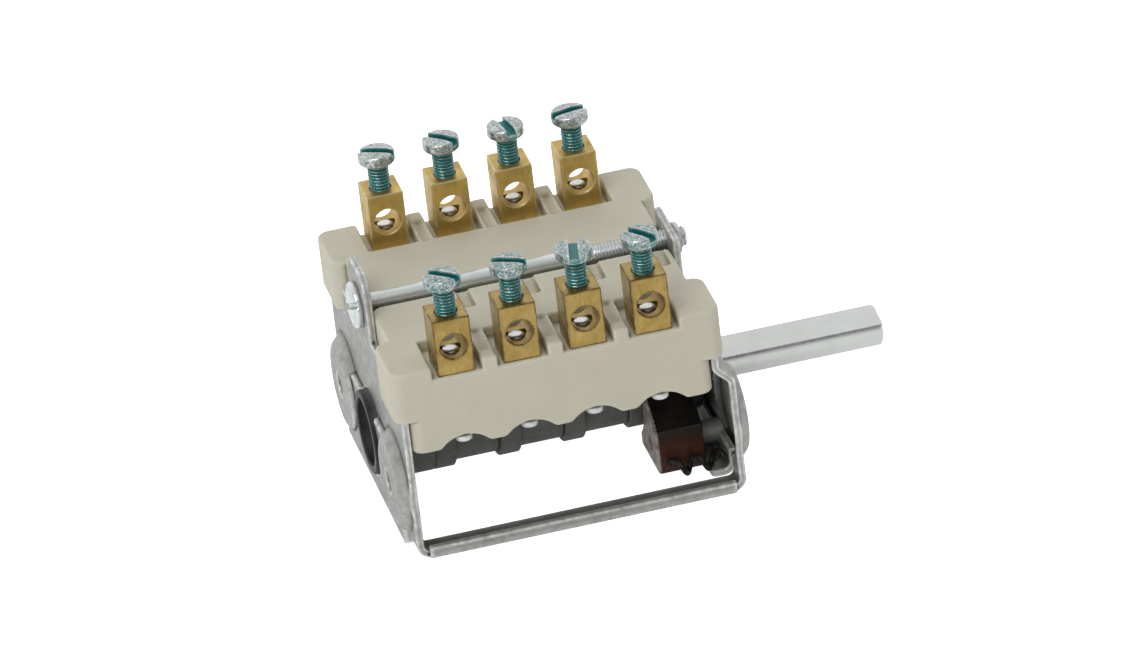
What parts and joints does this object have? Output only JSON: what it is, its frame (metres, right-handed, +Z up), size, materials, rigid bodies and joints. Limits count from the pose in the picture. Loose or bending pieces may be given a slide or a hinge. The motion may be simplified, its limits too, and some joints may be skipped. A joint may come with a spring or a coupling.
{
  "type": "rotary cam switch",
  "caption": "Rotary selector switch: sheet-steel frame, ceramic contact blocks with brass screw terminals, camshaft, sprung detent and flatted shaft.",
  "frame": {"origin": "on the shaft's axis, in the plane of the two boss faces that meet the panel", "axes": "+X along the shaft towards its free end, +Z up towards the terminals"},
  "size_m": [0.0745, 0.047, 0.0418],
  "materials": {
    "zinc_sheet": "zinc-plated pressed sheet, dull and slightly mottled",
    "ceramic": "cream unglazed steatite ceramic",
    "terminal_brass": "drawn brass, slightly tarnished",
    "screw_steel": "zinc-plated steel screws",
    "contact_silver": "silver contact metal",
    "black_moulding": "black thermoset moulding",
    "shaft_steel": "turned steel with fine turning marks",
    "brown_moulding": "brown thermoset moulding",
    "spring_steel": "dark spring wire"
  },
  "bodies": {
    "housing": {"frame": "zinc_sheet", "block_left": "ceramic", "block_right": "ceramic", "terminal_left_1": "terminal_brass", "contact_left_1": "contact_silver", "terminal_left_2": "terminal_brass", "contact_left_2": "contact_silver", "terminal_left_3": "terminal_brass", "contact_left_3": "contact_silver", "terminal_left_4": "terminal_brass", "contact_left_4": "contact_silver", "terminal_right_1": "terminal_brass", "contact_right_1": "contact_silver", "terminal_right_2": "terminal_brass", "contact_right_2": "contact_silver", "terminal_right_3": "terminal_brass", "contact_right_3": "contact_silver", "terminal_right_4": "terminal_brass", "contact_right_4": "contact_silver", "bridge_1": "contact_silver", "bridge_2": "contact_silver", "bridge_3": "contact_silver", "bridge_4": "contact_silver", "tie_screw": "screw_steel", "pivot_pin": "shaft_steel", "detent_spring": "spring_steel"},
    "spindle": {"camshaft": "black_moulding", "shaft": "shaft_steel"},
    "pawl": {"detent_pawl": "brown_moulding"},
    "clamp_left_1": {"screw_left_1": "screw_steel"},
    "clamp_left_2": {"screw_left_2": "screw_steel"},
    "clamp_left_3": {"screw_left_3": "screw_steel"},
    "clamp_left_4": {"screw_left_4": "screw_steel"},
    "clamp_right_1": {"screw_right_1": "screw_steel"},
    "clamp_right_2": {"screw_right_2": "screw_steel"},
    "clamp_right_3": {"screw_right_3": "screw_steel"},
    "clamp_right_4": {"screw_right_4": "screw_steel"}
  },
  "joints": [
    {"name": "spindle_turn", "type": "hinge", "parent": "housing", "child": "spindle", "pos_m": [0, 0, 0], "axis": [1, 0, 0], "continuous": true},
    {"name": "pawl_swing", "type": "hinge", "parent": "housing", "child": "pawl", "pos_m": [-0.00865, -0.0102, -0.0055], "axis": [1, 0, 0], "range_deg": [0, 6], "stiffness_Nm_per_rad": 0.05, "springref_deg": -5.73},
    {"name": "clamp_left_1_travel", "type": "slide", "parent": "housing", "child": "clamp_left_1", "axis": [0, 0, 1], "range_m": [-0.0032, 0]},
    {"name": "clamp_left_2_travel", "type": "slide", "parent": "housing", "child": "clamp_left_2", "axis": [0, 0, 1], "range_m": [-0.0032, 0]},
    {"name": "clamp_left_3_travel", "type": "slide", "parent": "housing", "child": "clamp_left_3", "axis": [0, 0, 1], "range_m": [-0.0032, 0]},
    {"name": "clamp_left_4_travel", "type": "slide", "parent": "housing", "child": "clamp_left_4", "axis": [0, 0, 1], "range_m": [-0.0032, 0]},
    {"name": "clamp_right_1_travel", "type": "slide", "parent": "housing", "child": "clamp_right_1", "axis": [0, 0, 1], "range_m": [-0.0032, 0]},
    {"name": "clamp_right_2_travel", "type": "slide", "parent": "housing", "child": "clamp_right_2", "axis": [0, 0, 1], "range_m": [-0.0032, 0]},
    {"name": "clamp_right_3_travel", "type": "slide", "parent": "housing", "child": "clamp_right_3", "axis": [0, 0, 1], "range_m": [-0.0032, 0]},
    {"name": "clamp_right_4_travel", "type": "slide", "parent": "housing", "child": "clamp_right_4", "axis": [0, 0, 1], "range_m": [-0.0032, 0]}
  ]
}
